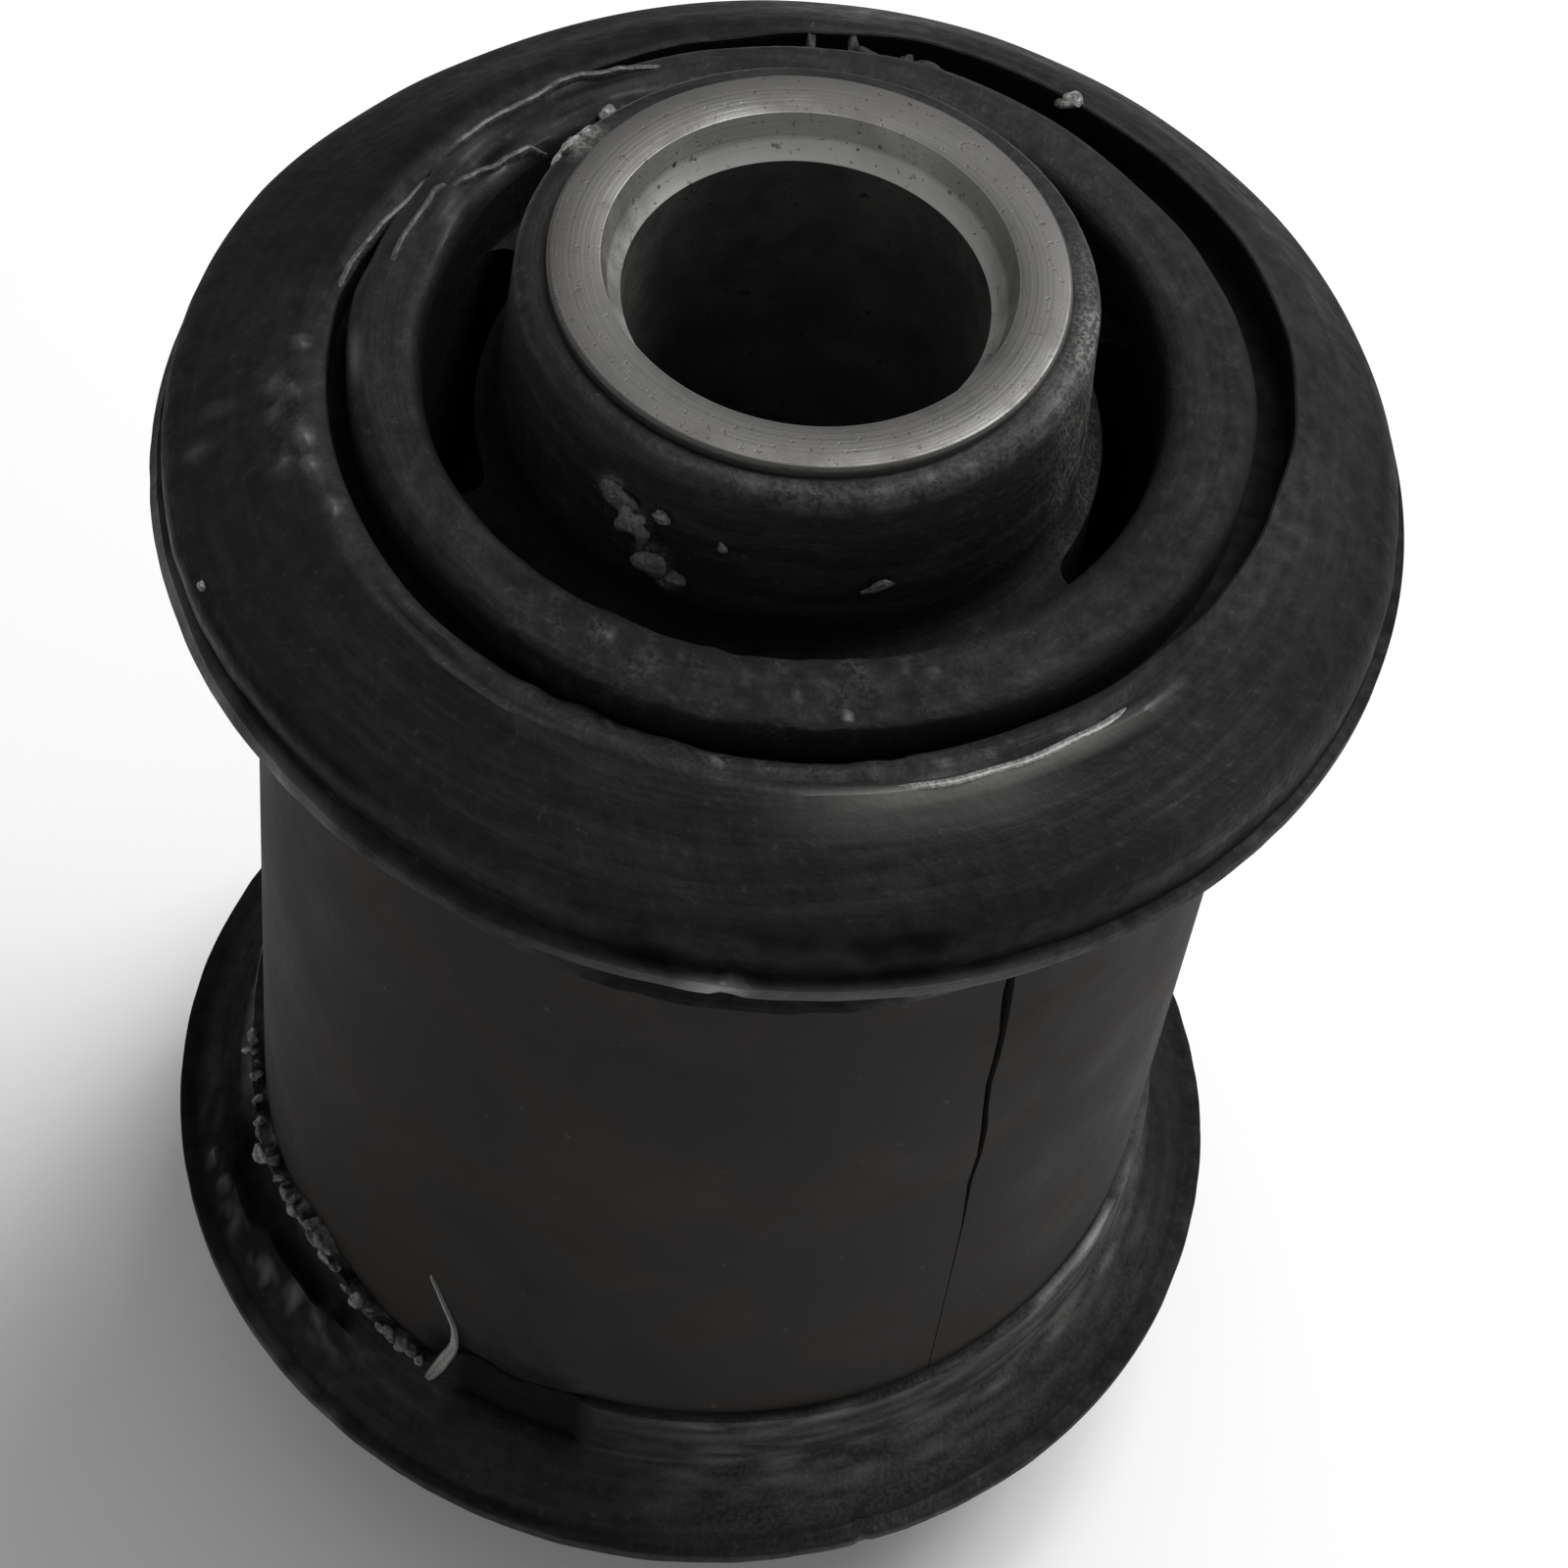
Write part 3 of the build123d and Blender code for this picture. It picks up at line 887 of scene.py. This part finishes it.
cuts_in_a_degree = 2
end_taper = 6
flash_root = 0.5
lowest_ground = 65.6


def raised_flash(run, rise, thickness, raggedness):
    """One ribbon of flash, whose foot is sunk in the moulding under it."""
    start, end = run[0][0], run[-1][0]
    cuts = round(cuts_in_a_degree * (end - start))
    ribbon = new_primitive(bpy.ops.mesh.primitive_grid_add, x_subdivisions=cuts, y_subdivisions=2, size=1)
    for vertex in ribbon.data.vertices:
        share = vertex.co.x + 0.5
        azimuth = start + share * (end - start)
        way_out = Vector((cos(radians(azimuth)), sin(radians(azimuth)), 0))
        radius = around(azimuth, run)
        radius += 0.15 * rough(way_out * radius * MM, 2.4, 5)
        foot = way_out * radius * MM
        full = min(end_taper * share, end_taper * (1 - share), 1)
        ground = rubber_moulding.ray_cast(foot + Vector((0, 0, bush_length)), Vector((0, 0, -1)))[1]
        height = max(ground.z / MM, lowest_ground) - 0.25 * (1 - full)
        if vertex.co.y > 0:
            height += rise * full * (1 + raggedness * rough(foot, 0.8, 7))
        elif vertex.co.y < -0.25:
            height -= flash_root
        foot.z = height * MM
        vertex.co = foot
    thicken(ribbon, thickness, rounding=1)
    return ribbon


loose_rubber = [curled_strip] + [raised_flash(*flash) for flash in flash_runs]
# How pale the strip, and after it each ribbon, is painted: rubbed pale, with a painted reflection on the
# strip and a painted highlight on the last ribbon.
loose_pale_and_highlight = [1.0, 0.24, 0.24, 0.2, 0.7]

# Crumbs of rubber hang where it was torn or dragged. Each is given by azimuth, radius and
# height, how far it reaches round the bush, outwards and upwards, and how pale it is rubbed.
crumb_places = [
    (61.5, 19.5, 65.75, 0.5, 0.42, 0.3, 0.75), (79.2, 17.5, 66.1, 0.9, 0.4, 0.2, 0.05),
    (82.4, 17.9, 65.9, 0.3, 0.35, 0.2, 0.04), (89.6, 18.3, 65.6, 0.22, 0.75, 0.18, 0.05),
    (87.3, 17.6, 66.0, 0.6, 0.35, 0.2, 0.05), (95, 18.3, 65.6, 0.2, 1.1, 0.2, 0.08),
    (128.5, 14.7, 66.6, 0.4, 0.35, 0.3, 0.6), (157.5, 11.0, 71.2, 0.5, 0.25, 0.3, 1.0),
    (153.5, 10.9, 71.3, 0.8, 0.3, 0.35, 1.0), (149.5, 11.0, 71.1, 0.5, 0.3, 0.3, 0.9),
    (-120, 11.4, 68.8, 0.8, 0.25, 0.5, 0.35), (-116.5, 11.6, 68.0, 0.5, 0.3, 0.7, 0.45),
    (-113.5, 11.7, 67.8, 0.4, 0.25, 0.4, 0.3), (-110, 11.5, 69.0, 0.35, 0.2, 0.3, 0.6),
    (-111, 11.9, 66.5, 0.7, 0.3, 0.5, 0.3), (-106, 11.7, 66.0, 0.4, 0.25, 0.3, 0.3),
    (-98, 11.4, 68.4, 0.2, 0.15, 0.2, 0.5), (-68.8, 11.8, 67.1, 0.6, 0.15, 0.25, 0.3),
    (-149.5, 24.3, 62.6, 0.3, 0.15, 0.2, 0.5),
]
tear_crumbs = 34
tear_start = -170
tear_pitch = 1.55
for step in range(tear_crumbs):
    azimuth = tear_start + tear_pitch * step
    jitter = rough(Vector((step * MM, 0, 0)), 0.37, 61)
    swell = rough(Vector((0, step * MM, 0)), 0.41, 67)
    stretch = rough(Vector((0, 0, step * MM)), 0.43, 79)
    if swell > -0.18:
        crumb_places.append((
            azimuth + 0.9 * jitter,
            21.5 + 0.5 * swell + 0.2 * stretch,
            around(azimuth, torn_lip) - 0.15 + 0.6 * jitter,
            0.38 + 0.6 * max(stretch, -0.3),
            0.28 + 0.25 * jitter,
            0.24 + 0.2 * swell - 0.2 * stretch,
            0.42 + 0.6 * swell,
        ))

most_tilt = 1.2
first_crumb = new_primitive(bpy.ops.mesh.primitive_ico_sphere_add, subdivisions=3, radius=1)
for azimuth, radius, height, along, outwards, upwards, pale in crumb_places:
    crumb = first_crumb.copy()
    crumb.data = first_crumb.data.copy()
    bpy.context.collection.objects.link(crumb)
    turn = Matrix.Rotation(radians(azimuth), 3, "Z")
    tilt = Matrix.Rotation(most_tilt * noise.noise(Vector((3 * azimuth, radius, height))), 3, "X")
    for vertex in crumb.data.vertices:
        own = 0.75 * noise.noise(0.9 * vertex.co + Vector((azimuth, radius, height)))
        own += 0.14 * noise.noise(2.6 * vertex.co + Vector((height, azimuth, radius)))
        lumpy = vertex.co * (1 + own)
        lumpy = tilt @ Vector((outwards * lumpy.x, along * lumpy.y, upwards * lumpy.z))
        vertex.co = turn @ (lumpy + Vector((radius, 0, height))) * MM
    loose_rubber.append(crumb)
    loose_pale_and_highlight.append(pale)
bpy.data.objects.remove(first_crumb)

# The marks go with the mesh: scuffed and speckled, with some painted light; rubbed pale and shiny, with
# some painted highlight; and near-black painted shade.
marks_when_loose = {
    "scuffed_and_lit": [0.6 * rub for rub in loose_pale_and_highlight],
    "rubbed_and_highlit": loose_pale_and_highlight,
    "painted_shade": [0.0] * len(loose_pale_and_highlight),
}
for wear, when_loose in marks_when_loose.items():
    layer = rubber_moulding.data.attributes.new(wear, "FLOAT", "POINT")
    layer.data.foreach_set("value", [min(max(getattr(spot, wear), 0), 1) for spot in spots])
    for piece, value in zip(loose_rubber, when_loose):
        layer = piece.data.attributes.new(wear, "FLOAT", "POINT")
        layer.data.foreach_set("value", [value] * len(piece.data.vertices))
bpy.ops.object.select_all(action="DESELECT")
for piece in loose_rubber:
    piece.select_set(True)
rubber_moulding.select_set(True)
bpy.context.view_layer.objects.active = rubber_moulding
bpy.ops.object.join()
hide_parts("rubber_body")

rubber_deep = (0.0068, 0.0066, 0.0064)
rubber_black = (0.0098, 0.0095, 0.0092)
rubber_bloomed = (0.0168, 0.0165, 0.0163)
chalk_and_highlight_grey = (0.21, 0.206, 0.199)
painted_shade_black = (0.0015, 0.0015, 0.0015)
streak_size = 0.8 * MM
black_rubber, tree, shader, place_on = new_finish("moulded_rubber")
shader.inputs["Specular IOR Level"].default_value = 0.15
shader.inputs["Coat Roughness"].default_value = 0.24
worn_and_lit, rubbed_and_highlit_mask, in_painted_shade = (
    add_node(tree, "Attribute", {}, attribute_name=wear).outputs["Fac"] for wear in marks_when_loose)
bloom = laid_on(tree, blotches, place_on, Size=4 * MM, Contrast=1.6)
mottle = laid_on(tree, blotches, place_on, Size=0.9 * MM, Contrast=1.5)
crumbs = laid_on(tree, speckles, place_on, Size=0.22 * MM, Amount=0.4)
dust = laid_on(tree, speckles, place_on, Size=0.45 * MM, Amount=0.2)
rings = laid_on(tree, turning_marks, place_on, Pitch=0.42 * MM)
grain = noise_cloud(tree, place_on, 2600, 4)

# Faint streaks of release agent lie round the moulding, as the rubber flowed.
from_axis, line_out, upward = from_bolt_axis(tree, place_on)
way_out = vector_maths(tree, "NORMALIZE", line_out)
round_bush = add_node(tree, "VectorMath", {0: way_out, "Scale": 3}, operation="SCALE").outputs[0]
across = maths(tree, "DIVIDE", from_axis, streak_size)
up = maths(tree, "DIVIDE", upward, streak_size)
flow = add_node(tree, "CombineXYZ", {"X": across, "Y": across, "Z": up}).outputs[0]
flow = vector_maths(tree, "ADD", flow, round_bush)
streaks = stretched(tree, noise_cloud(tree, flow, 1, 4, roughness=0.6), 0.48, 0.78)

pale = maths(tree, "MULTIPLY", worn_and_lit, crumbs)
for mask, strength in ((worn_and_lit, 0.06), (dust, 0.06), (streaks, 0.07)):
    pale = maths(tree, "MULTIPLY_ADD", mask, strength, pale)
# Rubbing and painted highlight both turn the rubber chalk grey here.
pale_and_highlight = maths(tree, "MULTIPLY_ADD", rubbed_and_highlit_mask, 0.7, pale, clamp=True)
body = mixed(tree, mottle, rubber_deep, mixed(tree, bloom, rubber_black, rubber_bloomed))
# Painted shade turns the rubber near-black.
torn = mixed(tree, in_painted_shade, mixed(tree, pale_and_highlight, body, chalk_and_highlight_grey), painted_shade_black)
dull = maths(tree, "MULTIPLY_ADD", worn_and_lit, 0.18, stretched(tree, mottle, 0, 1, 0.62, 0.42))
dull = maths(tree, "MULTIPLY_ADD", in_painted_shade, 0.4, dull, clamp=True)
relief = grain
for mask, height in ((rings, 0.7), (mottle, 0.4), (pale_and_highlight, 1.2)):
    relief = maths(tree, "MULTIPLY_ADD", mask, height, relief)
tree.links.new(rubbed_and_highlit_mask, shader.inputs["Coat Weight"])
dress(tree, shader, torn, dull, relief, strength=0.7, depth=0.07 * MM)
finish_piece(rubber_moulding, black_rubber)

# ---- Stage, light and camera ----
# A plain pale floor under soft studio light, with the key light high at the back right.
floor = new_primitive(bpy.ops.mesh.primitive_plane_add, size=6, location=(0, 0, 0))
floor.name = "studio_floor"
floor_paint = bpy.data.materials.new("floor_paint")
floor_paint.use_nodes = True
shader = floor_paint.node_tree.nodes["Principled BSDF"]
shader.inputs["Base Color"].default_value = (0.92, 0.92, 0.92, 1)
shader.inputs["Roughness"].default_value = 0.9
floor.data.materials.append(floor_paint)

studio_world = bpy.data.worlds.new("studio_world")
studio_world.use_nodes = True
background = studio_world.node_tree.nodes["Background"]
background.inputs["Color"].default_value = (0.93, 0.93, 0.93, 1)
background.inputs["Strength"].default_value = 0.4
bpy.context.scene.world = studio_world
bpy.context.scene.view_settings.view_transform = "Standard"


def softbox(name, place, size, power):
    """A square area light that faces the middle of the bush."""
    bpy.ops.object.light_add(type="AREA", location=place)
    box = bpy.context.object
    box.name = name
    box.data.size = size
    box.data.energy = power
    aim = Vector((0, 0, bush_length / 2)) - Vector(place)
    box.rotation_euler = aim.to_track_quat("-Z", "Y").to_euler()


softbox("key_softbox", (0.24, 0.2, 0.42), 0.26, 2.0)
softbox("overhead_softbox", (0.09, 0.19, 0.56), 0.15, 0.75)

# The camera looks down at the bush from the front, and is turned a little to the left.
looking_down = radians(54.15)
camera_roll = radians(8.84)
camera_aim = Vector((0, 0, 36)) * MM
camera_set_back = Vector((2.22, 1.23, 188.6)) * MM
bpy.ops.object.camera_add()
camera = bpy.context.object
camera.data.lens = 97.0
camera.data.sensor_width = 36
camera.matrix_world = (
    Matrix.Translation(camera_aim) @ Matrix.Rotation(pi / 2 - looking_down, 4, "X")
    @ Matrix.Rotation(camera_roll, 4, "Z") @ Matrix.Translation(camera_set_back))
bpy.context.scene.camera = camera
